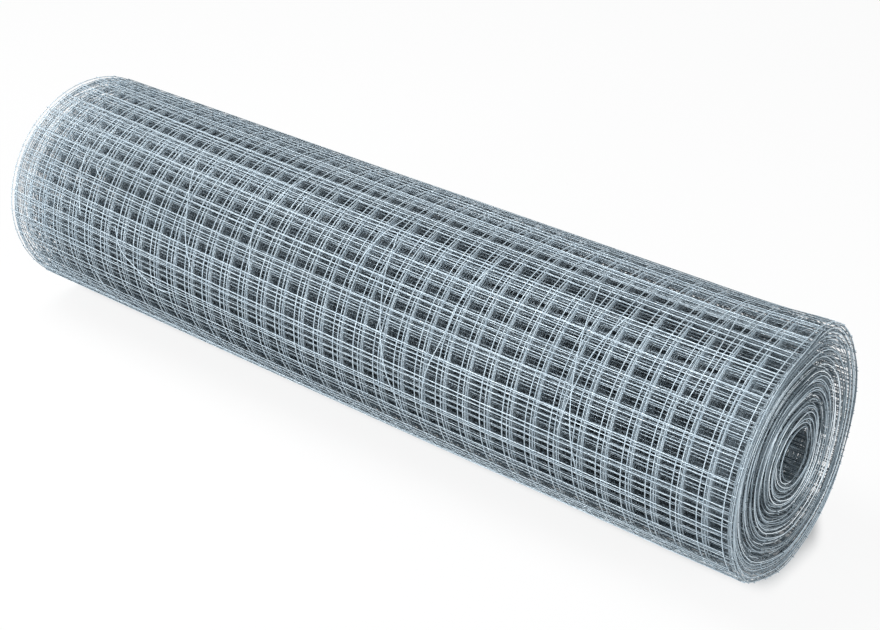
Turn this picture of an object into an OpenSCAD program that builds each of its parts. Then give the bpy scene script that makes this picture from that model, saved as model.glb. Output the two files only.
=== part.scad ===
// A roll of welded wire mesh, as sold for backing plaster and render: one strip of mesh wound
// on itself, with an open bore and no core tube. It lies on its side on the floor.
// The roll is one turned solid. Each turn of the spiral shows on both ends as a ring, with a
// groove between it and the next, and the outermost turn has slipped along the roll.
// Millimetres. The roll's axis runs along X, and the origin is on the floor under its middle.

/* [Mesh strip] */
// Pitch of the square cells, wire centre to wire centre
cell = 25.4; // [12.7:0.1:50.8]
// Number of cells across the strip
cells_across = 36; // [8:1:60]
// Diameter of the galvanised wire
wire_d = 0.9; // [0.6:0.05:1.6]
// Length by which the cross wires reach past the centre of each edge wire
stub = 1.5; // [1:0.1:6]

/* [Roll] */
// Diameter of the open bore
bore_d = 40; // [30:1:120]
// Number of turns in the spiral
turns = 56; // [6:1:70]
// Slack between one turn and the next
turn_slack = 0.02; // [0:0.01:1]
// Length by which the inner turns have slid along the roll past the outer ones, towards -X
slide = 9; // [0:0.5:16]
// Length by which the outermost turn has slipped past the turn under it, towards -X
outer_slip = 9; // [0:0.5:16]
// Depth of the groove between two turns on the ends
groove_depth = 2.5; // [0.5:0.1:6]

/* [Colour] */
// Colour of the zinc coating
zinc = [0.62, 0.67, 0.71];

/* [Hidden] */
$fn = 96;
strip_width = cells_across * cell + 2 * stub;
turn_pitch = 2 * wire_d + turn_slack; // a line wire, a cross wire over it, and the slack
bore_r = bore_d / 2;
outer_r = bore_r + turns * turn_pitch + wire_d;
wound_depth = outer_r - bore_r;

// Inner radius of the ring that turn number k shows on an end
function ring_r(k) = bore_r + k * turn_pitch;

// How far turn number k has slid towards -X, measured from the middle turn
function slid(k) =
    slide * ((outer_r - ring_r(k)) / wound_depth - 0.5)
    + (k == turns ? outer_slip : 0);

// One ring and the groove outside it, as points of the turned section, from the inside out.
// side is 1 for the +X end and -1 for the -X end.
function ring_points(k, side) =
    let (
        inner = ring_r(k),
        outer = inner + wire_d,
        top = side * strip_width / 2 - slid(k),
        floor_level = top - side * groove_depth
    )
    k < turns
        ? [[inner, top], [outer, top], [outer, floor_level], [ring_r(k + 1), floor_level]]
        : [[inner, top], [outer, top]];

// All the rings of one end, from the bore to the outside
function end_points(side) = [for (k = [0:turns]) each ring_points(k, side)];

function reversed(points) = [for (i = [len(points) - 1:-1:0]) points[i]];

module roll_section() {
    polygon(concat(end_points(-1), reversed(end_points(1))));
}

module mesh_roll() {
    color(zinc)
        translate([0, 0, outer_r])
            rotate([0, 90, 0])
                rotate_extrude()
                    roll_section();
}

mesh_roll();
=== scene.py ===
"""A roll of galvanised welded wire mesh on its side: the wound strip, its loose wires, the stage.

The roll's axis runs along X. Angles round the roll are measured from +Y towards +Z, so 90 degrees
is the top. Depth in the roll is counted in turns, from 0 at the free end of the strip, on the
outside, to the number of turns at the bore. The near end of the roll is the one at +X. Lengths
are in metres and angles in degrees unless a line says otherwise.
"""

import math

import bpy
import numpy as np
from mathutils import Matrix, Vector
from mathutils.kdtree import KDTree


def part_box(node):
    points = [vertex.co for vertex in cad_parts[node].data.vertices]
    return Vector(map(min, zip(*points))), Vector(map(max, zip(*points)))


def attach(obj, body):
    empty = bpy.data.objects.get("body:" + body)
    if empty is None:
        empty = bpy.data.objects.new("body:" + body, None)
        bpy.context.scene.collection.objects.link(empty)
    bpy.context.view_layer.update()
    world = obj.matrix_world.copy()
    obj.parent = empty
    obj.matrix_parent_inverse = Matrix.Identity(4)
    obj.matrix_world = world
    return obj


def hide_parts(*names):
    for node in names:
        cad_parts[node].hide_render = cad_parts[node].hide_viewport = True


bl_info = {
    "name": "Welded Mesh Roll",
    "version": (1, 0, 0),
    "blender": (4, 5, 0),
    "location": "View3D > Sidebar > Mesh Roll",
    "description": "Winds a strip of welded wire mesh into a roll and sets it in a plain studio",
    "category": "Add Mesh",
}

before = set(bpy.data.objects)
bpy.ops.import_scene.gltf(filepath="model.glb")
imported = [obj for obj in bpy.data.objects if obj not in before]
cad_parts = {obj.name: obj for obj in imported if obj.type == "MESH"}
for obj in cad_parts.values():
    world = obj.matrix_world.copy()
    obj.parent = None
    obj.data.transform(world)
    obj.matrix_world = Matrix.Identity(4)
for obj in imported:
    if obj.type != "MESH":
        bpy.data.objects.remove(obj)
ROLL_LOW, ROLL_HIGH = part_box("mesh_roll")
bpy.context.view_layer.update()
BODY = "root"
NODE = "mesh_roll"

OUTER_R = (ROLL_HIGH.z - ROLL_LOW.z) / 2
AXIS_Z = (ROLL_HIGH.z + ROLL_LOW.z) / 2
MM = 0.001
MOST_TRIANGLES = 200000
# Steps in each turn in which the path of the strip is worked out.
TURN_STEPS = 180

# The free end of the strip lies low at the back, and the strip runs down in angle from there.
FREE_END = 310.0
# The angle at the front at which the turns are compared with each other.
FRONT = 140.0
# Depth in turns, and where the middle of the strip lies along X there at the front, in millimetres.
TRACKING = (
    (0.0, -4.5),
    (0.56, -4.5),
    (0.75, -2.5),
    (1.1, 0.7),
    (1.5, 0.7),
    (2.1, 3.4),
    (2.5, 4.3),
    (3.5, 3.7),
    (4.5, 2.0),
    (5.5, 2.3),
    (6.5, 1.0),
    (7.5, 0.0),
    (8.5, 0.5),
    (9.5, -1.0),
    (20.0, -1.9),
    (38.0, -3.0),
    (50.0, -4.3),
    (56.0, -4.5),
)
# The side where the turns end unevenly like that: the angle in its middle.
LEADING = 155.0
# Cosine of the angle from that middle at which the side starts.
LEADING_START = -0.09
# How much the cosine grows from there until the turns stand as above in full.
LEADING_SPREAD = 0.66
# On the other side the turns end level with each other: where the outermost stands, in millimetres.
LEVEL_TRACK = -5.0
# How much further towards +X the deep turns stand there, in millimetres.
LEVEL_DRIFT = 1.6
# Depth in turns over which they get there.
LEVEL_DEPTH = 4
# Depth in turns up to which the strip doesn't wander along the roll.
STEADY_DEPTH = 0.9
# Depth in turns, and how far the edge at -X is drawn in there, in millimetres.
EDGE_TUCK = ((0.0, 6.5), (0.7, 6.5), (1.5, 5.5), (2.5, 4.5), (3.5, 3.5), (56.0, 3.5))
# How many cells next to that edge are drawn in with it.
TUCK_CELLS = 4
# Length from the near edge over which the strip frays.
FRAY_REACH = 0.02
# Turns over which the fraying grows from the outside in, and the share that it lags behind.
FRAY_TURNS = 20
FRAY_LAG = 0.05

# The near end isn't quite round: angle, and how far the outermost turn stands out, in millimetres.
NEAR_SHAPE = (
    (-20, -4.8),
    (0, -4.2),
    (30, -2.4),
    (47, 1.6),
    (60, 4.4),
    (70, 5.0),
    (84, 3.0),
    (98, 0.5),
    (215, 0.0),
    (243, -0.8),
    (262, 0.8),
    (280, 2.4),
    (293, 3.0),
    (310, 2.2),
    (328, -1.2),
    (340, -4.0),
    (350, -4.8),
)
# Length from the near end at which that shape starts.
FLARE_START = 0.09
# Length over which it grows.
FLARE_LENGTH = 0.08
# How late it grows, where 1 is evenly.
FLARE_CURVE = 1.5
# How sharply the roll bulges where it rests on the floor.
REST_CURVE = 40
# The roll is a little hollow low at the front, towards the far end: the angle in the middle.
HOLLOW_ANGLE = 222
# How far the hollow reaches to either side.
HOLLOW_REACH = 45
# Share of the roll's length from the far end at which it starts, and share over which it grows.
HOLLOW_START = 0.6
HOLLOW_LENGTH = 0.5
# How deep it would be after the whole length.
HOLLOW_DEPTH = 0.004
# The mesh is wound a little askew: the place along X where it leads by nothing, in millimetres.
SKEW_MIDDLE = 12.7
# Millimetres along X over which it leads by one degree more.
SKEW_LENGTH = 100
# How much that falls off with the square of the millimetres.
SKEW_CURVE = 0.00115

# Number of gaps that open in each turn.
GAPS_PER_TURN = 1.7
# Depth in turns of the outermost gap.
OUTERMOST_GAP = 3.2
# Angle at which gaps are highest, and the share of that height that they have opposite it.
GAPING = 165
LEAST_GAP = 0.1
# Range of the gaps' heights, as shares of the looseness, and the power that lowers them.
GAP_HEIGHTS = (0.35, 1.0)
GAP_CURVE = 1.3
# Range of their widths, in turns.
GAP_WIDTHS = (0.08, 0.28)
# Range of the number of turns over which the turns outside them settle again.
GAP_SETTLING = (2.5, 7.0)
# Depth in turns from which gaps show in full, and their least share outside it.
GAPS_SHOWN = 1.6
GAPS_OUTSIDE = 0.15
# Depth in turns over which the outermost turns are pressed tight.
PRESSED_DEPTH = 10
# Behind the top the outermost turns lie flat on each other: the angle in the middle.
FLAT_ANGLE = 50
# How far that reaches to either side.
FLAT_REACH = 38
# How many turns' room it saves, and the depth in turns over which it does.
FLAT_SAVING = 1.2
FLAT_DEPTH = 3

# Angle of one cross wire of the outermost turn, and the angle from it to the next.
WIRE_ANGLE = 149.0
CELL_ANGLE = 12.03
# How far the cross wires of each turn stand from those of the outermost turn, in cells.
CELL_STEPS = (0.0, 0.19, 0.42, 0.06, 0.52, 0.3, 0.58, 0.9, 0.14, 0.05, 0.7, 0.94, 0.3)
# Depth in turns from which the cells run on from turn to turn, without a step at the front.
EVEN_CELLS_DEPTH = 30
# Share of a turn, to either side of the front, that keeps its step, for the outermost and others.
FIRST_STEP_REACH = 0.45
STEP_REACH = 0.17
# Number of cells in the turn at the bore.
BORE_CELLS = 5
# Turns at the free end and at the bore that have no cross wire.
FREE_END_ROOM = 0.004
BORE_ROOM = 0.01
# How unevenly the line wires are spaced, and how far each of them sways.
LINE_SHIFT = 0.00012
LINE_SWAY = 0.00016
# How much the cross wires slant, bow and sway.
CROSS_SLANT = 0.0006
CROSS_BOW = 0.0006
CROSS_SWAY = 0.0002
# Length from each edge wire to an extra point on the cross wires.
EDGE_POINT = 0.014
# Least radius for which the slant of a cross wire is worked out.
LEAST_RADIUS = 0.02

# Wires deep in the roll get painted shade, from 0 in the open to 1 and more: where that starts, in
# turns.
PAINTED_SHADE_START = 0.8
# Turns over which it grows, and how many more it takes at the near end.
PAINTED_SHADE_TURNS = 15.0
PAINTED_SHADE_TURNS_NEAR = 5.0
# The least turns over which it grows anywhere.
LEAST_PAINTED_SHADE_TURNS = 2.0
# The most that it is along the front.
MOST_PAINTED_SHADE = 0.7
# Bands along the front where it grows over more or fewer turns: middle angle, and width.
HIGH_BAND = (101, 4.8)
CROWN_BAND = (113, 12)
LOW_BAND = (207, 15)
# Share by which it takes more turns in the crown band, and how much that falls to the near end.
CROWN_MORE = 1.4
CROWN_MORE_LOST = 0.7
# Share by which it takes fewer turns in the high band, and how much that grows to the near end.
HIGH_FEWER = 0.6
HIGH_FEWER_ADDED = 0.45
# Share by which it takes fewer turns in the low band.
LOW_FEWER = 0.85
# How much more painted shade the wires may get in the high and the low band.
BAND_SHADE_ADDED = 0.44
# Band of painted shade behind the top: how dark it is, the angle in the middle, and the angle over
# which it fades.
BACK_SHADE = 0.62
BACK_ANGLE = 52
BACK_FADE = 16
# Half its width, as a share of the angle over which it fades.
BACK_WIDTH = 1.6
# Turns near the bore: how much painted shade they get, how many turns from it that starts, and how
# many it takes.
DEEP_SHADE = 1.15
DEEP_START = 8.0
DEEP_TURNS = 2.0
# The last turn, which lies open in the bore: the same.
BORE_SHADE = 0.12
BORE_START = 1.1
BORE_TURNS = 0.1
# Length from the far edge over which the painted shade grows.
FAR_SHADE_LENGTH = 0.2
# Length from the near edge where it starts, and over which it grows.
NEAR_SHADE_START = 0.002
NEAR_SHADE_LENGTH = 0.012
# Edges of the turns at the near end get painted shade that changes at random from turn to turn: how
# much on average, and how much that changes.
EDGE_SHADE = 0.47
EDGE_CHANGE = 0.8
# How much painted shade the brightest edges get that have no painted highlight.
LEAST_EDGE_SHADE = 0.04
# Depth in turns over which the painted highlights on the edges grow, and the least share of that.
PAINTED_HIGHLIGHT_DEPTH = 30
LEAST_PAINTED_HIGHLIGHT = 0.2
# Share of all this that shows, and the depth in turns over which it grows.
EDGE_STRENGTH = 0.9
EDGE_DEPTH = 2
# The edges at the bore: how much painted shade, how many turns from it that starts, and how many it
# takes.
BORE_EDGE_SHADE = 0.8
BORE_EDGE_START = 2.0
BORE_EDGE_TURNS = 1.5
# How strongly the painted highlight colour shows on the edges that get painted highlights.
PAINTED_HIGHLIGHT_STRENGTH = 1.3

# Wires that have sprung loose on the outside: points as X in millimetres and angle in degrees.
LOOSE_WIRES = (
    ((-288, 163), (-276, 173), (-254, 180), (-231, 186.5), (-201, 187)),
    ((-227, 107), (-214, 123), (-197, 141), (-184, 156.5), (-174, 168)),
    ((-364, 129), (-357, 141), (-347, 155), (-342, 165)),
    ((-89, 101), (-96, 113.5), (-101, 127), (-106, 136.5), (-101, 147), (-96, 158)),
    ((-332, 130), (-337, 138), (-326, 143.5)),
    ((-329, 194), (-321, 203), (-314, 213)),
    ((43, 103), (34, 121), (29, 135), (26, 146)),
    ((48, 116), (61, 135), (69, 147), (78, 161), (89, 178), (103, 201)),
    ((163, 106), (156, 123), (149, 138), (148, 150), (136, 172), (128, 193)),
    ((263, 104), (279, 130), (289, 150), (299, 172), (306, 190)),
    ((306, 115), (299, 129), (291, 153), (284, 172)),
    ((389, 92), (398, 116), (394, 141)),
)
# How far they stand out from the roll, and their ends, which are tucked in.
LOOSE_LIFT = 0.0006
LOOSE_END_LIFT = -0.0012

# A patch of floor under and close behind the roll doesn't glow. Places where that starts and where
# it is complete: along Y from the front and the back, and along X from the far and the near end.
SHADE_FRONT = (-0.05, -0.01)
SHADE_BACK = (0.3, 0.2)
SHADE_FAR = (-0.47, -0.43)
SHADE_NEAR = (0.47, 0.44)
# The same along a line that slants past the near end, and how far Y counts on it beside X.
SHADE_SLANTED = (0.506, 0.488)
SHADE_SLANT = 0.63
# Share of the floor's glow elsewhere.
FLOOR_GLOW = 0.9

WHITE = (1.0, 1.0, 1.0)
COOL_WHITE = (0.97, 0.99, 1.0)
# Soft square lamps: name, place, width, power in watts and colour.
LAMPS = (
    ("key_lamp", (-0.9, -0.4, 2.15), 1.2, 62.0, WHITE),
    ("side_lamp", (2.8, -0.5, 0.95), 1.0, 70.0, COOL_WHITE),
    ("low_lamp", (-0.9, -2.6, 0.3), 0.6, 60.0, COOL_WHITE),
    ("back_lamp", (0.2, 2.9, 0.5), 1.2, 12.0, COOL_WHITE),
)
CAMERA_PLACE = (1.018, -1.1839, 0.9785)
CAMERA_ANGLES = (60.704, 0.0, 39.076)
FLOOR_WIDTH = 40.0
BACKDROP_RADIUS = 15.0
BACKDROP_HEIGHT = 4.0


# ---------------------------------------------------------------- settings


class StripSettings(bpy.types.PropertyGroup):
    """Sizes of the strip of mesh."""

    cell: bpy.props.FloatProperty(
        name="Cell",
        description="Pitch of the square cells",
        default=0.0254,
        min=0.01,
        max=0.06,
        precision=4,
        unit="LENGTH",
    )
    cells_across: bpy.props.IntProperty(
        name="Cells across",
        description="Number of cells across the strip, one fewer than its line wires",
        default=36,
        min=8,
        max=60,
    )
    wire: bpy.props.FloatProperty(
        name="Wire",
        description="Thickness of the wire",
        default=0.0009,
        min=0.0005,
        max=0.0016,
        precision=4,
        unit="LENGTH",
    )
    stub: bpy.props.FloatProperty(
        name="Stub",
        description="Length of each cross wire past the edge wires",
        default=0.0008,
        min=0.0005,
        max=0.006,
        precision=4,
        unit="LENGTH",
    )
    sink: bpy.props.FloatProperty(
        name="Weld sink",
        description="How deep the wires are sunk into each other at the welds",
        default=0.0001,
        min=0.0,
        max=0.0003,
        precision=5,
        unit="LENGTH",
    )


class RollSettings(bpy.types.PropertyGroup):
    """How the strip is wound."""

    turns: bpy.props.IntProperty(
        name="Turns",
        description="Number of turns in the roll",
        default=56,
        min=6,
        max=70,
    )
    pitch: bpy.props.FloatProperty(
        name="Pitch",
        description="Distance from one turn to the next",
        default=0.00185,
        min=0.0012,
        max=0.003,
        precision=5,
        unit="LENGTH",
    )
    pressed: bpy.props.FloatProperty(
        name="Pressed",
        description="How many turns' room the outermost turns save by lying tight on each other",
        default=3.0,
        min=0.0,
        max=4.0,
    )
    slim: bpy.props.FloatProperty(
        name="Slim",
        description="How much smaller the roll's radius is than where it rests on the floor",
        default=0.0012,
        min=0.0,
        max=0.005,
        precision=4,
        unit="LENGTH",
    )
    taper: bpy.props.FloatProperty(
        name="Taper",
        description="How much smaller the roll's radius is at the near end than at the far one",
        default=0.0017,
        min=0.0,
        max=0.01,
        precision=4,
        unit="LENGTH",
    )
    looseness: bpy.props.FloatProperty(
        name="Looseness",
        description="Height of the gaps that open between the turns",
        default=0.0013,
        min=0.0,
        max=0.003,
        precision=4,
        unit="LENGTH",
    )
    wander: bpy.props.FloatProperty(
        name="Wander",
        description="How far the strip wanders along the roll as it is wound",
        default=0.0009,
        min=0.0,
        max=0.004,
        precision=4,
        unit="LENGTH",
    )
    fray: bpy.props.FloatProperty(
        name="Fray",
        description="How unevenly the edges of the turns stand out at the near end",
        default=0.0009,
        min=0.0,
        max=0.004,
        precision=4,
        unit="LENGTH",
    )
    seed: bpy.props.IntProperty(
        name="Seed",
        description="Choice of the small irregularities",
        default=7,
        min=0,
    )


class FinishSettings(bpy.types.PropertyGroup):
    """Colours of the zinc coating, with its painted shade and painted highlights."""

    bright: bpy.props.FloatVectorProperty(
        name="Bright zinc",
        description="Colour of the clean coating",
        subtype="COLOR",
        size=3,
        min=0.0,
        max=1.0,
        default=(0.475, 0.55, 0.6),
    )
    dull_and_shade: bpy.props.FloatVectorProperty(
        name="Dull zinc",
        description="Colour of the weathered coating",
        subtype="COLOR",
        size=3,
        min=0.0,
        max=1.0,
        default=(0.375, 0.455, 0.515),
    )
    # Colour of the painted shade on the wires deep in the roll.
    painted_shade_colour: bpy.props.FloatVectorProperty(
        name="Covered zinc",
        description="Colour of the coating on the wires deep in the roll",
        subtype="COLOR",
        size=3,
        min=0.0,
        max=1.0,
        default=(0.015, 0.031, 0.044),
    )
    # Colour of the painted highlights on the edges of the turns at the near end.
    painted_highlight_colour: bpy.props.FloatVectorProperty(
        name="Polished zinc",
        description="Colour of the coating where the edges of the turns are rubbed bright",
        subtype="COLOR",
        size=3,
        min=0.0,
        max=1.0,
        default=(0.77, 0.83, 0.87),
    )
    # Strength of the painted shade on the wires deep in the roll.
    painted_shade_strength: bpy.props.FloatProperty(
        name="Grime",
        description="How much the wires deep in the roll have dulled",
        subtype="FACTOR",
        default=0.85,
        min=0.0,
        max=1.0,
    )
    roughness: bpy.props.FloatProperty(
        name="Roughness",
        description="Roughness of the clean coating",
        subtype="FACTOR",
        default=0.36,
        min=0.0,
        max=1.0,
    )


class StageSettings(bpy.types.PropertyGroup):
    """Floor, light and camera."""

    floor: bpy.props.FloatVectorProperty(
        name="Floor",
        description="Colour of the floor",
        subtype="COLOR",
        size=3,
        min=0.0,
        max=1.0,
        default=(0.68, 0.68, 0.68),
    )
    ambient: bpy.props.FloatProperty(
        name="Ambient",
        description="Strength of the even light from all round",
        default=0.25,
        min=0.0,
        max=2.0,
    )
    lens: bpy.props.FloatProperty(
        name="Lens",
        description="Focal length of the camera",
        default=72.07,
        min=20.0,
        max=200.0,
        subtype="DISTANCE_CAMERA",
    )


# ---------------------------------------------------------------- shader nodes


class Value:
    """A socket on its way through a node tree; sums written on it add Math nodes."""

    def __init__(self, shade, socket):
        self.shade = shade
        self.socket = socket

    def math(self, operation, first, second):
        return self.shade.node("ShaderNodeMath", {"operation": operation}, {0: first, 1: second})

    def __add__(self, other):
        return self.math("ADD", self, other)

    def __radd__(self, other):
        return self.math("ADD", other, self)

    def __sub__(self, other):
        return self.math("SUBTRACT", self, other)

    def __rsub__(self, other):
        return self.math("SUBTRACT", other, self)

    def __mul__(self, other):
        return self.math("MULTIPLY", self, other)

    def __rmul__(self, other):
        return self.math("MULTIPLY", other, self)


class Shade:
    """A node tree under construction."""

    def __init__(self, tree):
        self.tree = tree
        self.tree.nodes.clear()

    def node(self, kind, settings=None, inputs=None, output=0):
        """Adds a node of a kind, sets it up, fills its sockets and returns one of its outputs."""
        made = self.tree.nodes.new(kind)
        for name, setting in (settings or {}).items():
            setattr(made, name, setting)
        for name, value in (inputs or {}).items():
            if isinstance(value, Value):
                self.tree.links.new(value.socket, made.inputs[name])
            else:
                made.inputs[name].default_value = value
        return Value(self, made.outputs[output]) if made.outputs else None

    def mix(self, factor, first, second):
        """Mixes two colours. Their sockets share names with others, so they go by number."""
        sockets = {0: factor, 6: first, 7: second}
        return self.node("ShaderNodeMix", {"data_type": "RGBA"}, sockets, 2)

    def noise(self, place, scale, detail):
        """A cloudy pattern from 0 to 1."""
        sockets = {"Vector": place, "Scale": scale, "Detail": detail}
        return self.node("ShaderNodeTexNoise", {"noise_dimensions": "3D"}, sockets)

    def stretch(self, place, scale):
        """Places scaled along each axis, for a pattern that is drawn out along one of them."""
        return self.node("ShaderNodeMapping", {}, {"Vector": place, "Scale": scale})

    def ease(self, value, start, end):
        """0 before a start and 1 past an end, with a smooth way between."""
        ends = {"Value": value, "From Min": start, "From Max": end, "To Min": 0.0, "To Max": 1.0}
        return self.node("ShaderNodeMapRange", {"interpolation_type": "SMOOTHSTEP"}, ends)


def new_material(name):
    """Adds an empty material, and returns it with its tree ready for nodes."""
    material = bpy.data.materials.new(name)
    material.use_nodes = True
    return material, Shade(material.node_tree)


def rgba(colour):
    """A colour with full alpha."""
    return (*colour, 1.0)


def galvanised_wire():
    """Zinc-coated steel wire: crystals, weathered patches, and a coat that is thicker here and
    there, with painted shade deep in the roll and painted highlights on the edges at the near end.
    """
    material = bpy.data.materials.get("galvanised_wire_finish")
    if material:
        return material
    finish = bpy.context.scene.mesh_roll_finish
    material, shade = new_material("galvanised_wire_finish")
    place = shade.node("ShaderNodeTexCoord", output="Object")
    # Wires along X and round it differ in tone from each other.
    cross_tone = shade.noise(shade.stretch(place, (5.0, 310.0, 310.0)), scale=1.0, detail=1.0)
    line_tone = shade.noise(shade.stretch(place, (330.0, 5.0, 5.0)), scale=1.0, detail=1.0)
    patches = shade.noise(place, scale=9.0, detail=3.0)
    cells = {"Vector": place, "Scale": 520.0}
    crystals = shade.node("ShaderNodeTexVoronoi", {"feature": "F1"}, cells, "Color")
    crystal = shade.node("ShaderNodeSeparateColor", {}, {"Color": crystals})
    runs = shade.noise(place, scale=240.0, detail=3.0)
    tone = 0.3 * cross_tone + 0.3 * line_tone + 0.22 * patches + 0.3 * crystal - 0.06
    bright = shade.ease(tone, 0.3, 0.68)
    open_colour = shade.mix(bright, rgba(finish.dull_and_shade), rgba(finish.bright))
    # The painted light is 0 on clean coating, 1 and more where the painted shade is darkest, and
    # below 0 where painted highlights brighten the edges.
    painted_light = shade.node("ShaderNodeAttribute", {"attribute_name": "painted_light"}, output="Fac")
    # Painted highlights: the edges of the turns at the near end are mixed towards a pale colour.
    clamped = {"operation": "MULTIPLY", "use_clamp": True}
    painted_highlight = shade.node("ShaderNodeMath", clamped, {0: painted_light, 1: -PAINTED_HIGHLIGHT_STRENGTH})
    open_colour = shade.mix(painted_highlight, open_colour, rgba(finish.painted_highlight_colour))
    # Painted shade: wires deep in the roll, and in bands along the front, are mixed towards a dark
    # colour.
    colour = shade.mix(finish.painted_shade_strength * painted_light, open_colour, rgba(finish.painted_shade_colour))
    roughness = finish.roughness + 0.22 - 0.2 * bright + 0.12 * (runs - 0.5)
    height = runs + 0.35 * crystal
    relief = {"Strength": 0.25, "Distance": 0.00008, "Height": height}
    bump = shade.node("ShaderNodeBump", {}, relief)
    shader = shade.node(
        "ShaderNodeBsdfPrincipled",
        {},
        {
            "Base Color": colour,
            "Metallic": 0.3,
            "Specular IOR Level": 0.25,
            "Roughness": roughness,
            "Normal": bump,
        },
    )
    shade.node("ShaderNodeOutputMaterial", {}, {"Surface": shader})
    return material


# ---------------------------------------------------------------- shape of the wound strip


def unit(values):
    """Values kept between 0 and 1."""
    return np.clip(values, 0.0, 1.0)


def hill(places, middle, width):
    """1 at a middle and 0 well away from it, without corners."""
    return np.exp(-(((places - middle) / width) ** 2))


def eased(knots, places):
    """Values between knots, given as pairs, without corners."""
    at, values = np.array(knots, float).T
    samples = 3000
    width = 31
    fine = np.linspace(at[0], at[-1], samples)
    rough = np.interp(fine, at, values)
    padded = np.pad(rough, width // 2, mode="edge")
    return np.interp(places, fine, np.convolve(padded, np.ones(width) / width, mode="valid"))


def ripple(random, places, waves, fastest):
    """A smooth random line with a mean of 0 and a spread of about 1."""
    total = np.zeros_like(places)
    slowest = fastest * 0.15
    for _ in range(waves):
        rate = random.uniform(slowest, fastest)
        total = total + np.sin(2 * math.pi * (rate * places + random.uniform(0, 1)))
    return total * math.sqrt(2 / waves)


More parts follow.
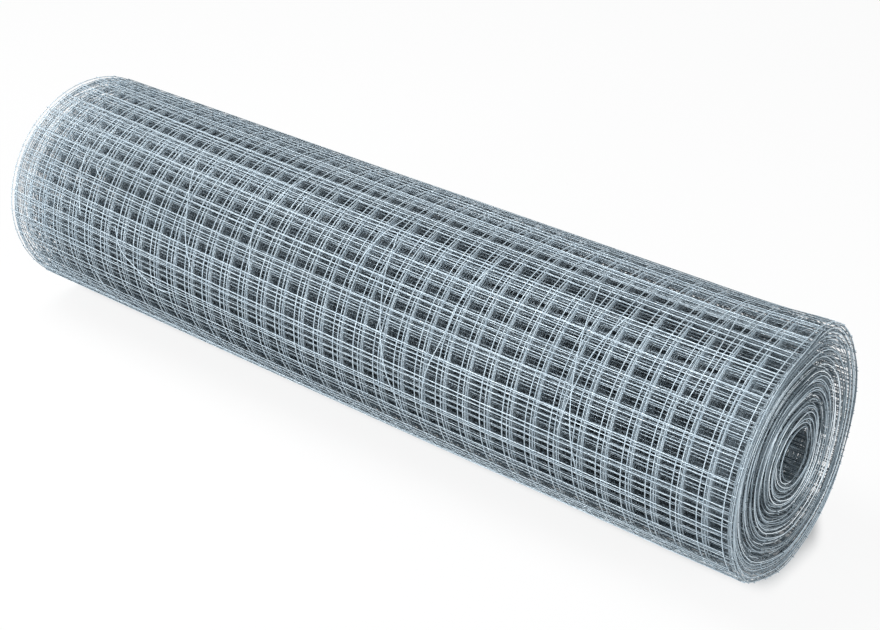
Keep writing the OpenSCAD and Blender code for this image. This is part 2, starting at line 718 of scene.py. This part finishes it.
class Winding:
    """Where each point of the strip lies in the roll."""

    def __init__(self):
        scene = bpy.context.scene
        self.strip = scene.mesh_roll_strip
        self.roll = scene.mesh_roll_roll
        self.half = self.strip.cells_across * self.strip.cell / 2
        self.depths = np.arange(0.0, self.roll.turns + 0.5 / TURN_STEPS, 1 / TURN_STEPS)
        random = np.random.default_rng(self.roll.seed)
        self.offsets = self.lay_gaps(random)
        saved = self.roll.pressed * (1 - np.exp(-self.depths / PRESSED_DEPTH))
        self.inward = self.roll.pitch * (self.depths - saved)
        self.track = self.lay_track(random)
        self.tuck = eased(EDGE_TUCK, self.depths) * MM
        frays = self.roll.fray * unit(self.depths / FRAY_TURNS - FRAY_LAG)
        self.fray = frays * ripple(random, self.depths, waves=12, fastest=1.1)
        # Painted shade on the edges of the turns at the near end, changing at random from turn to
        # turn, and painted highlights where it is below 0.
        change = EDGE_CHANGE * ripple(random, self.depths, waves=12, fastest=0.8)
        self.edge_light_and_shade = np.clip(EDGE_SHADE + change, -1.0, 1.0)
        self.wire_shift = random.normal(0.0, LINE_SHIFT, self.strip.cells_across + 1)
        self.cell_depths = self.lay_cells(random)

    def lay_gaps(self, random):
        """How far each place stands out because of the gaps that opened in the turns under it."""
        stands_out = np.zeros(len(self.depths))
        half_turn = TURN_STEPS // 2
        for _ in range(int(self.roll.turns * GAPS_PER_TURN)):
            below = random.uniform(OUTERMOST_GAP, self.roll.turns)
            at_front = 0.5 + 0.5 * math.cos(math.radians(FREE_END - 360 * below - GAPING))
            height = self.roll.looseness * random.uniform(*GAP_HEIGHTS) ** GAP_CURVE
            height = height * (LEAST_GAP + at_front)
            width = random.uniform(*GAP_WIDTHS)
            settling = random.uniform(*GAP_SETTLING)
            for turn in range(int(below) + 1):
                middle = (below - turn) * TURN_STEPS
                near = slice(max(0, int(middle - half_turn)), int(middle + half_turn))
                away = (self.depths[near] * TURN_STEPS - middle) / (TURN_STEPS * width)
                stands_out[near] += height * math.exp(-turn / settling) * np.exp(-(away**4))
        stands_out -= stands_out.mean()
        return stands_out * np.clip(self.depths / GAPS_SHOWN, GAPS_OUTSIDE, 1.0)

    def lay_track(self, random):
        """How far the middle of the strip stands along X at each depth."""
        angle = np.radians(FREE_END - 360 * self.depths)
        share = unit((np.cos(angle - math.radians(LEADING)) - LEADING_START) / LEADING_SPREAD)
        share = share**2 * (3 - 2 * share)
        front = eased(TRACKING, self.depths)
        level = LEVEL_TRACK + LEVEL_DRIFT * (1 - np.exp(-self.depths / LEVEL_DEPTH))
        track = (share * front + (1 - share) * level) * MM
        wander = self.roll.wander * unit(self.depths - STEADY_DEPTH)
        return track + wander * ripple(random, self.depths, waves=14, fastest=1.6)

    def lay_cells(self, random):
        """Depths in the roll of the cross wires, with the steps that the outer turns have."""
        front = (FREE_END - FRONT) / 360
        first_count = (WIRE_ANGLE - FRONT) / CELL_ANGLE
        gained = 0.5 * 2 * math.pi * self.roll.pitch / self.strip.cell
        places = []
        counts = []
        count = 0.0
        for turn in range(self.roll.turns):
            rate = 2 * math.pi * (OUTER_R - self.roll.pitch * (turn + front)) / self.strip.cell
            natural = count + rate + gained if turn else 0.0
            if turn < len(CELL_STEPS):
                step = CELL_STEPS[turn]
            elif turn < EVEN_CELLS_DEPTH:
                step = random.uniform(0.0, 1.0)
            else:
                step = natural - first_count
            if turn:
                count = first_count + step + round(natural - first_count - step)
            else:
                count = first_count
            reach = STEP_REACH if turn else FIRST_STEP_REACH
            for side in (-reach, reach):
                places.append(turn + front + side)
                counts.append(count + side * rate)
        places.append(float(self.roll.turns))
        counts.append(count + (1 - front) * BORE_CELLS)
        places = np.array(places)
        counts = np.array(counts)
        order = np.argsort(places)
        places = places[order]
        counts = np.maximum.accumulate(counts[order])
        first = math.ceil(np.interp(0.0, places, counts))
        whole = np.arange(first, math.floor(counts[-1]) + 1)
        found = np.interp(whole, counts, places)
        return found[(found > FREE_END_ROOM) & (found < self.roll.turns - BORE_ROOM)]

    def skin(self, along, angle):
        """Outer radius of the roll at places along X and angles, fuller where it rests."""
        share = (along + self.half) / (2 * self.half)
        slimmer = self.roll.slim + self.roll.taper * np.clip(share, -0.05, 1.05)
        rests = unit(-np.sin(angle)) ** REST_CURVE
        flare = unit((along - self.half + FLARE_START) / FLARE_LENGTH) ** FLARE_CURVE
        turned = np.mod(np.degrees(angle), 360)
        shape = np.interp(turned, *np.array(NEAR_SHAPE, float).T, period=360) * MM
        hollow = unit(1 - np.abs(turned - HOLLOW_ANGLE) / HOLLOW_REACH)
        hollow = hollow * np.clip(HOLLOW_START - share, 0.0, HOLLOW_LENGTH)
        return OUTER_R - slimmer * (1 - rests) + shape * flare - HOLLOW_DEPTH * hollow

    def twist(self, along):
        """How far the mesh leads along X, in degrees, because it was wound a little askew."""
        millimetres = along / MM - SKEW_MIDDLE
        return (millimetres - SKEW_CURVE * millimetres**2) / SKEW_LENGTH

    def place(self, depth, across, lift):
        """Points at a depth in the roll, across the strip, lifted above its line wires."""
        track = np.interp(depth, self.depths, self.track)
        tuck = np.interp(depth, self.depths, self.tuck)
        from_edge = -(across + self.half) / (TUCK_CELLS * self.strip.cell)
        drawn_in = np.clip(from_edge + 1.0, 0.0, 1.1) ** 2
        frayed = np.interp(depth, self.depths, self.fray)
        at_edge = unit((across - self.half + FRAY_REACH) / FRAY_REACH)
        along = across + track + tuck * drawn_in + frayed * at_edge
        angle = np.radians(FREE_END - 360 * depth + self.twist(along))
        skin = self.skin(along, angle)
        line_r = skin - 1.5 * self.strip.wire + self.strip.sink
        gap = np.interp(depth, self.depths, self.offsets)
        inward = np.interp(depth, self.depths, self.inward)
        flat = unit(1 - ((np.degrees(angle) % 360 - FLAT_ANGLE) / FLAT_REACH) ** 2)
        inward = inward - flat * FLAT_SAVING * self.roll.pitch * (1 - np.exp(-depth / FLAT_DEPTH))
        radius = line_r - inward * skin / OUTER_R + gap + lift
        height = np.maximum(AXIS_Z + radius * np.sin(angle), 0.5 * self.strip.wire)
        return np.stack([along, radius * np.cos(angle), height], -1)

    def painted_shade(self, depth, across):
        """Painted shade on the wires along the roll, from 0 in the open to 1 and more under others.

        Towards the top and the bottom of the front, and behind the top, the painted shade comes
        sooner.
        """
        turned = np.mod(FREE_END - 360 * depth, 360)
        high = hill(turned, *HIGH_BAND)
        crown = hill(turned, *CROWN_BAND)
        low = hill(turned, *LOW_BAND)
        share = 0.5 + 0.5 * across / self.half
        more = (CROWN_MORE - CROWN_MORE_LOST * share) * crown
        fewer = (HIGH_FEWER + HIGH_FEWER_ADDED * share) * high
        turns = PAINTED_SHADE_TURNS + PAINTED_SHADE_TURNS_NEAR * unit(across / self.half)
        turns = turns * (1 + more - fewer - LOW_FEWER * low)
        dull_and_shade = (depth - PAINTED_SHADE_START) / np.maximum(turns, LEAST_PAINTED_SHADE_TURNS)
        dull_and_shade = np.clip(dull_and_shade, 0.0, MOST_PAINTED_SHADE + BAND_SHADE_ADDED * (high + low))
        from_bore = self.roll.turns - depth
        dull_and_shade = np.maximum(dull_and_shade, DEEP_SHADE * unit((DEEP_START - from_bore) / DEEP_TURNS))
        dull_and_shade = dull_and_shade + unit((BORE_START - from_bore) / BORE_TURNS) * (BORE_SHADE - dull_and_shade)
        far = unit((self.half + across) / FAR_SHADE_LENGTH)
        behind = unit(BACK_WIDTH - np.abs(turned - BACK_ANGLE) / BACK_FADE)
        return np.maximum(dull_and_shade * far * (2 - far), BACK_SHADE * behind)

    def painted_edge_light(self, depth):
        """Painted shade on the edges of the turns at the near end, below 0 where they get painted
        highlights.
        """
        edge_light_and_shade = np.interp(depth, self.depths, self.edge_light_and_shade)
        painted_highlight = np.minimum(edge_light_and_shade, 0.0) * np.clip(depth / PAINTED_HIGHLIGHT_DEPTH, LEAST_PAINTED_HIGHLIGHT, 1.0)
        edge_light_and_shade = np.maximum(edge_light_and_shade, LEAST_EDGE_SHADE) + painted_highlight
        from_bore = self.roll.turns - depth
        at_bore = unit((BORE_EDGE_START - from_bore) / BORE_EDGE_TURNS)
        edge_light_and_shade = edge_light_and_shade + at_bore * (BORE_EDGE_SHADE - edge_light_and_shade)
        return EDGE_STRENGTH * edge_light_and_shade * unit(depth / EDGE_DEPTH)

    def painted_light(self, depth, across):
        """Painted shade on the coating at places in the roll, below 0 where painted highlights
        brighten it.
        """
        inside = unit((self.half - NEAR_SHADE_START - across) / NEAR_SHADE_LENGTH)
        edge = self.painted_edge_light(depth) * (1 - inside)
        return self.painted_shade(depth, across) * inside * (2 - inside) + edge

    def line_wire(self, number, start, end, steps, random):
        """Centre line of one line wire from one depth to another, and its painted shade and
        highlight.
        """
        depth = np.linspace(start, end, max(2, int(round((end - start) * steps)) + 1))
        across = -self.half + number * self.strip.cell + self.wire_shift[number]
        sway = LINE_SWAY * ripple(random, depth, waves=5, fastest=4.0)
        return self.place(depth, across + sway, 0.0), self.painted_light(depth, across)

    def cross_wire(self, depth, steps, random):
        """Centre line of the cross wire at a depth in the roll, and its painted shade and
        highlight.
        """
        reach = self.half + self.strip.stub
        across = np.linspace(-reach, reach, steps + 1)
        across = np.insert(across, [1, -1], [EDGE_POINT - self.half, self.half - EDGE_POINT])
        share = across / self.half
        radius = max(LEAST_RADIUS, OUTER_R - self.roll.pitch * depth)
        slant = random.normal(0.0, CROSS_SLANT) * share
        bow = random.normal(0.0, CROSS_BOW) * (1 - share**2)
        sway = CROSS_SWAY * ripple(random, share, waves=5, fastest=3.0)
        shifted = depth + (slant + bow + sway) / (2 * math.pi * radius)
        shifted = np.clip(shifted, 0.0, self.roll.turns)
        lift = self.strip.wire - self.strip.sink
        return self.place(shifted, across, lift), self.painted_light(shifted, across)


# ---------------------------------------------------------------- making wires


def only(piece):
    """Makes a piece the only one that is selected, and the active one."""
    bpy.ops.object.select_all(action="DESELECT")
    piece.select_set(True)
    bpy.context.view_layer.objects.active = piece


def wire_curve(name, thickness, round_steps):
    """Adds an empty curve whose lines are round wires."""
    curve = bpy.data.curves.new(name, "CURVE")
    curve.dimensions = "3D"
    curve.bevel_resolution = round_steps
    sides = 4 + 2 * round_steps
    # A wire with few sides is drawn thicker, so that it covers as much as a round one.
    curve.bevel_depth = thickness / 2 * (math.pi / sides) / math.sin(math.pi / sides)
    curve.use_fill_caps = True
    piece = bpy.data.objects.new(name, curve)
    bpy.context.collection.objects.link(piece)
    return piece


def add_line(piece, points):
    """Adds one wire to a curve, straight between its points."""
    spline = piece.data.splines.new("POLY")
    spline.points.add(len(points) - 1)
    spline.points.foreach_set("co", np.column_stack([points, np.ones(len(points))]).ravel())
    spline.use_smooth = True


def finish_wires(piece, material):
    """Turns a curve into the mesh of its wires and fits it to the roll's frame."""
    only(piece)
    bpy.ops.object.convert(target="MESH")
    piece.data.materials.clear()
    piece.data.materials.append(material)
    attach(piece, BODY)
    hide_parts(NODE)
    triangles = sum(len(face.vertices) - 2 for face in piece.data.polygons)
    if not 0 < triangles < MOST_TRIANGLES:
        raise RuntimeError(f"{piece.name} has {triangles} triangles")
    print(piece.name, triangles, "triangles")


def mark_painted_light(piece, places, painted_lights):
    """Stores on each point of the wires the painted shade and highlight of its place, for their
    finish.
    """
    places = np.concatenate(places)
    painted_lights = np.concatenate(painted_lights)
    tree = KDTree(len(places))
    for number, place in enumerate(places):
        tree.insert(place, number)
    tree.balance()
    values = [painted_lights[tree.find(point.co)[1]] for point in piece.data.vertices]
    piece.data.attributes.new("painted_light", "FLOAT", "POINT").data.foreach_set("value", values)


def wind(name, start, end, line_steps, edge_steps, cross_steps, round_steps=0):
    """Makes the turns of the strip between two depths as one mesh of welded wires.

    Line wires have steps in each turn, with other ones at the edges of the strip. Cross wires have
    steps along their length. A wire has four sides, and two more for each round step.
    """
    winding = Winding()
    random = np.random.default_rng(winding.roll.seed + 1000 + int(start))
    piece = wire_curve(name, winding.strip.wire, round_steps)
    places = []
    painted_lights = []
    for number in range(winding.strip.cells_across + 1):
        at_edge = number < 1 or number >= winding.strip.cells_across
        steps = edge_steps if at_edge else line_steps
        points, painted_light = winding.line_wire(number, start, end, steps, random)
        add_line(piece, points)
        places.append(points)
        painted_lights.append(painted_light)
    for depth in winding.cell_depths[(winding.cell_depths >= start) & (winding.cell_depths < end)]:
        points, painted_light = winding.cross_wire(depth, cross_steps, random)
        add_line(piece, points)
        places.append(points)
        painted_lights.append(painted_light)
    finish_wires(piece, galvanised_wire())
    mark_painted_light(piece, places, painted_lights)


class MESHROLL_OT_outer_turns(bpy.types.Operator):
    """Winds the two outermost turns, in full detail"""

    bl_idname = "mesh_roll.outer_turns"
    bl_label = "Outer Turns"

    def execute(self, context):
        wind("outer_turns", 0, 2, line_steps=84, edge_steps=84, cross_steps=36, round_steps=1)
        return {"FINISHED"}


class MESHROLL_OT_second_turns(bpy.types.Operator):
    """Winds the turns that show through the outermost two"""

    bl_idname = "mesh_roll.second_turns"
    bl_label = "Second Turns"

    def execute(self, context):
        wind("second_turns", 2, 9, line_steps=60, edge_steps=60, cross_steps=18)
        return {"FINISHED"}


class MESHROLL_OT_middle_turns(bpy.types.Operator):
    """Winds the turns half way in"""

    bl_idname = "mesh_roll.middle_turns"
    bl_label = "Middle Turns"

    def execute(self, context):
        wind("middle_turns", 9, 20, line_steps=44, edge_steps=60, cross_steps=12)
        return {"FINISHED"}


class MESHROLL_OT_inner_turns(bpy.types.Operator):
    """Winds the turns deep in the roll"""

    bl_idname = "mesh_roll.inner_turns"
    bl_label = "Inner Turns"

    def execute(self, context):
        wind("inner_turns", 20, 36, line_steps=32, edge_steps=56, cross_steps=8)
        return {"FINISHED"}


class MESHROLL_OT_bore_turns(bpy.types.Operator):
    """Winds the turns round the bore"""

    bl_idname = "mesh_roll.bore_turns"
    bl_label = "Bore Turns"

    def execute(self, context):
        turns = context.scene.mesh_roll_roll.turns
        wind("bore_turns", 36, turns, line_steps=26, edge_steps=44, cross_steps=8)
        return {"FINISHED"}


class MESHROLL_OT_loose_wires(bpy.types.Operator):
    """Lays the bent wires that have sprung loose on the outside"""

    bl_idname = "mesh_roll.loose_wires"
    bl_label = "Loose Wires"

    def execute(self, context):
        winding = Winding()
        piece = wire_curve("loose_wires", winding.strip.wire, round_steps=1)
        piece.data.resolution_u = 8
        for points in LOOSE_WIRES:
            spline = piece.data.splines.new("BEZIER")
            spline.bezier_points.add(len(points) - 1)
            for number, (along, angle) in enumerate(points):
                knot = spline.bezier_points[number]
                at_end = number in (0, len(points) - 1)
                lift = LOOSE_END_LIFT if at_end else LOOSE_LIFT
                turned = math.radians(angle)
                radius = float(winding.skin(along * MM, turned)) + lift
                height = AXIS_Z + radius * math.sin(turned)
                knot.co = (along * MM, radius * math.cos(turned), height)
                knot.handle_left_type = "AUTO"
                knot.handle_right_type = "AUTO"
        finish_wires(piece, galvanised_wire())
        return {"FINISHED"}


# ---------------------------------------------------------------- stage


def ray_seen(shade):
    """1 where a thing is seen directly or in something shiny or clear, 0 where it lights others."""
    seen = shade.node("ShaderNodeLightPath", output="Is Camera Ray")
    for name in ("Is Glossy Ray", "Is Transmission Ray"):
        also = shade.node("ShaderNodeLightPath", output=name)
        seen = shade.node("ShaderNodeMath", {"operation": "MAXIMUM"}, {0: seen, 1: also})
    return seen


def floor_finish():
    """A pale floor that shows a soft shadow of the roll, deepest under it and close behind it."""
    stage = bpy.context.scene.mesh_roll_stage
    material, shade = new_material("pale_floor")
    matte = shade.node("ShaderNodeBsdfDiffuse", {}, {"Color": rgba(stage.floor)})
    glow = shade.node("ShaderNodeEmission", {}, {"Color": rgba(WHITE), "Strength": 1.0})
    place = shade.node("ShaderNodeTexCoord", output="Object")
    along = shade.node("ShaderNodeSeparateXYZ", {}, {"Vector": place}, "X")
    back = shade.node("ShaderNodeSeparateXYZ", {}, {"Vector": place}, "Y")
    under = shade.ease(back, *SHADE_FRONT) * shade.ease(back, *SHADE_BACK)
    under = under * shade.ease(along, *SHADE_FAR) * shade.ease(along, *SHADE_NEAR)
    under = under * shade.ease(along + SHADE_SLANT * back, *SHADE_SLANTED)
    share = FLOOR_GLOW * ray_seen(shade) * (1.0 - under)
    surface = shade.node("ShaderNodeMixShader", {}, {0: share, 1: matte, 2: glow})
    shade.node("ShaderNodeOutputMaterial", {}, {"Surface": surface})
    return material


def studio_world():
    """A dim, even surround."""
    stage = bpy.context.scene.mesh_roll_stage
    world = bpy.data.worlds.new("pale_studio")
    world.use_nodes = True
    shade = Shade(world.node_tree)
    even = {"Color": rgba(WHITE), "Strength": stage.ambient}
    surround = shade.node("ShaderNodeBackground", {}, even)
    shade.node("ShaderNodeOutputWorld", {}, {"Surface": surround})
    bpy.context.scene.world = world


def soft_lamp(name, place, target, size, power, colour):
    """Adds a square soft lamp that points at a target."""
    bpy.ops.object.light_add(type="AREA", location=place)
    lamp = bpy.context.object
    lamp.name = name
    lamp.data.shape = "SQUARE"
    lamp.data.size = size
    lamp.data.energy = power
    lamp.data.color = colour
    lamp.rotation_euler = (Vector(target) - Vector(place)).to_track_quat("-Z", "Y").to_euler()


class MESHROLL_OT_stage(bpy.types.Operator):
    """Sets the floor, the lights and the camera"""

    bl_idname = "mesh_roll.stage"
    bl_label = "Stage"

    def execute(self, context):
        stage = context.scene.mesh_roll_stage
        bpy.ops.object.select_all(action="DESELECT")
        bpy.ops.mesh.primitive_plane_add(size=FLOOR_WIDTH, location=(0.0, 0.0, 0.0))
        floor = context.object
        floor.name = "floor"
        floor.data.materials.append(floor_finish())
        bpy.ops.mesh.primitive_cylinder_add(
            vertices=96,
            radius=BACKDROP_RADIUS,
            depth=BACKDROP_HEIGHT,
            end_fill_type="NOTHING",
        )
        backdrop = context.object
        backdrop.name = "backdrop"
        backdrop.data.transform(Matrix.Translation((0.0, 0.0, BACKDROP_HEIGHT / 2)))
        backdrop.data.flip_normals()
        backdrop.data.materials.append(floor.data.materials[0])
        studio_world()
        middle = (0.0, 0.0, AXIS_Z)
        for name, place, size, power, colour in LAMPS:
            soft_lamp(name, place, middle, size, power, colour)
        bpy.ops.object.camera_add(location=CAMERA_PLACE)
        camera = context.object
        camera.name = "camera"
        camera.rotation_euler = [math.radians(angle) for angle in CAMERA_ANGLES]
        camera.data.lens = stage.lens
        camera.data.sensor_width = 36.0
        camera.data.clip_end = 100.0
        context.scene.camera = camera
        context.scene.view_settings.view_transform = "Standard"
        return {"FINISHED"}


# ---------------------------------------------------------------- add-on


class MESHROLL_PT_panel(bpy.types.Panel):
    """Lists the steps that make the roll."""

    bl_idname = "MESHROLL_PT_panel"
    bl_label = "Mesh Roll"
    bl_space_type = "VIEW_3D"
    bl_region_type = "UI"
    bl_category = "Mesh Roll"

    def draw(self, context):
        layout = self.layout
        scene = context.scene
        for settings in (
            scene.mesh_roll_strip,
            scene.mesh_roll_roll,
            scene.mesh_roll_finish,
            scene.mesh_roll_stage,
        ):
            box = layout.box()
            for name in settings.__annotations__:
                box.prop(settings, name)
        for operator in STEPS:
            layout.operator(operator.bl_idname)


SETTINGS = (
    ("mesh_roll_strip", StripSettings),
    ("mesh_roll_roll", RollSettings),
    ("mesh_roll_finish", FinishSettings),
    ("mesh_roll_stage", StageSettings),
)
STEPS = (
    MESHROLL_OT_outer_turns,
    MESHROLL_OT_second_turns,
    MESHROLL_OT_middle_turns,
    MESHROLL_OT_inner_turns,
    MESHROLL_OT_bore_turns,
    MESHROLL_OT_loose_wires,
    MESHROLL_OT_stage,
)


def register():
    for name, group in SETTINGS:
        bpy.utils.register_class(group)
        setattr(bpy.types.Scene, name, bpy.props.PointerProperty(type=group))
    for step in STEPS:
        bpy.utils.register_class(step)
    bpy.utils.register_class(MESHROLL_PT_panel)


def unregister():
    bpy.utils.unregister_class(MESHROLL_PT_panel)
    for step in reversed(STEPS):
        bpy.utils.unregister_class(step)
    for name, group in reversed(SETTINGS):
        delattr(bpy.types.Scene, name)
        bpy.utils.unregister_class(group)


def main():
    """Makes the roll and its stage."""
    register()
    bpy.ops.mesh_roll.outer_turns()
    bpy.ops.mesh_roll.second_turns()
    bpy.ops.mesh_roll.middle_turns()
    bpy.ops.mesh_roll.inner_turns()
    bpy.ops.mesh_roll.bore_turns()
    bpy.ops.mesh_roll.loose_wires()
    bpy.ops.mesh_roll.stage()


if __name__ == "__main__":
    main()
